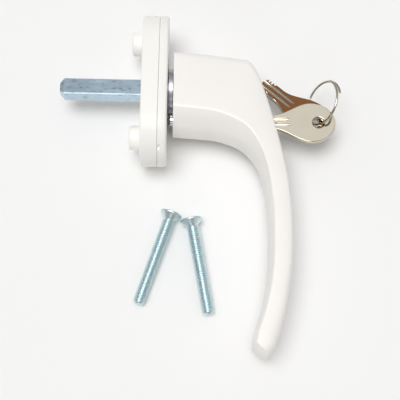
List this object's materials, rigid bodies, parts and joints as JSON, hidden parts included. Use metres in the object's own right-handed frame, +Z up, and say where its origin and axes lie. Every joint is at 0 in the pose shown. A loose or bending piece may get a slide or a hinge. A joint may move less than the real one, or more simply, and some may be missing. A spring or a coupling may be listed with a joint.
{
  "type": "keyed window lock",
  "caption": "Lockable window handle lying on its side: oval rosette, square spindle, curved lever, keyed lock with its key in place, spare key on a ring, loose fixing screws.",
  "frame": {"origin": "on the table under the middle of the box round all the pieces as they lie", "axes": "+X along the spindle axis from the window into the room, +Y up the rosette away from the grip, +Z up from the table"},
  "size_m": [0.1158, 0.1462, 0.032],
  "materials": {
    "white_plastic": "satin",
    "white_powder_coat": "satin",
    "blue_zinc_steel": "zinc plated",
    "bright_steel": "bright",
    "spring_steel": "plain",
    "brass": "plain",
    "nickel": "polished nickel",
    "grey_nylon": "plain"
  },
  "bodies": {
    "rosette": {"rosette_base": "white_plastic", "detent_leaf_front": "spring_steel", "detent_leaf_rear": "spring_steel"},
    "cover": {"rosette_cover": "white_plastic"},
    "lever": {"lever_handle": "white_powder_coat", "neck_collar": "bright_steel", "detent_cam": "grey_nylon", "retaining_ring": "spring_steel", "thrust_washer": "grey_nylon", "square_spindle": "blue_zinc_steel", "spindle_pin": "spring_steel", "lock_housing": "nickel", "bolt_spring": "spring_steel"},
    "plug": {"lock_plug": "brass", "wafer_1": "brass", "wafer_2": "brass", "wafer_3": "brass", "wafer_4": "brass", "plug_cam": "bright_steel"},
    "bolt": {"locking_bolt": "bright_steel"},
    "key": {"key_in_lock": "nickel"},
    "ring": {"key_ring": "bright_steel"},
    "spare": {"spare_key": "nickel"},
    "screw_left": {"fixing_screw_left": "blue_zinc_steel"},
    "screw_right": {"fixing_screw_right": "blue_zinc_steel"}
  },
  "joints": [
    {"name": "lever_turn", "type": "hinge", "parent": "rosette", "child": "lever", "pos_m": [-0.01081, 0.04013, 0.016], "axis": [-1, 0, 0], "range_deg": [0, 180], "deforming": ["detent_leaf_front", "detent_leaf_rear"]},
    {"name": "cover_lift", "type": "slide", "parent": "rosette", "child": "cover", "axis": [1, 0, 0], "range_m": [0, 0.0019]},
    {"name": "key_turn", "type": "hinge", "parent": "lever", "child": "plug", "pos_m": [0.01709, 0.02683, 0.016], "axis": [1, 0, 0], "range_deg": [0, 90]},
    {"name": "bolt_throw", "type": "slide", "parent": "lever", "child": "bolt", "axis": [-1, 0, 0], "range_m": [0, 0.0038], "deforming": ["bolt_spring"]},
    {"name": "key_pull", "type": "slide", "parent": "plug", "child": "key", "axis": [1, 0, 0], "range_m": [0, 0.016]},
    {"name": "ring_swing", "type": "hinge", "parent": "key", "child": "ring", "pos_m": [0.04999, 0.02643, 0.016], "axis": [-0.117, -0.9871, -0.109], "range_deg": [0, 12]},
    {"name": "spare_swing", "type": "hinge", "parent": "ring", "child": "spare", "pos_m": [0.04754, 0.02832, 0.01239], "axis": [-0.0239, -0.0719, -0.9971], "range_deg": [0, 20]},
    {"name": "screw_left_lift", "type": "slide", "parent": "rosette", "child": "screw_left", "axis": [0, 0, 1], "range_m": [0, 0.06]},
    {"name": "screw_right_lift", "type": "slide", "parent": "rosette", "child": "screw_right", "axis": [0, 0, 1], "range_m": [0, 0.06]}
  ],
  "couplings": [
    {"joint": "bolt_throw", "follows": "key_turn", "m_per_rad": 0.0024192}
  ]
}
